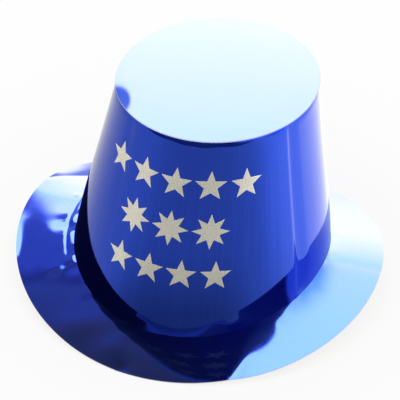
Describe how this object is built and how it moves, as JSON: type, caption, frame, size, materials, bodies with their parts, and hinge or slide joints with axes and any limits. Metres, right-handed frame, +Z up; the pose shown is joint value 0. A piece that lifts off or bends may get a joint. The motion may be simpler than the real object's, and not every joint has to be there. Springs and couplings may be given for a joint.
{
  "type": "party top hat",
  "caption": "Card party top hat with an oval flared crown, a flat top and a bent oval brim, faced with blue mirror foil and printed with silver stars.",
  "frame": {"origin": "middle of the hat's outline in plan, on the surface that the brim's front and back tips rest on", "axes": "+Z up through the crown; -Y is the printed front; +X is the wearer's left"},
  "size_m": [0.248, 0.256, 0.1466],
  "materials": {
    "foil": "metallised blue film, mirror gloss",
    "card": "uncoated white-grey paperboard, matte",
    "silver_print": "warm silver ink, satin",
    "glue": "dried clear hot glue, slightly yellow"
  },
  "bodies": {
    "root": {"crown_wall_card": "card", "crown_wall_foil": "foil", "crown_top_tabs": "card", "crown_seam_glue": "glue", "crown_top_card": "card", "crown_top_foil": "foil", "top_tab_glue": "glue", "brim_card": "card", "brim_teeth": "card", "brim_foil": "foil", "brim_tooth_glue": "glue", "printed_motifs": "silver_print"}
  },
  "joints": []
}
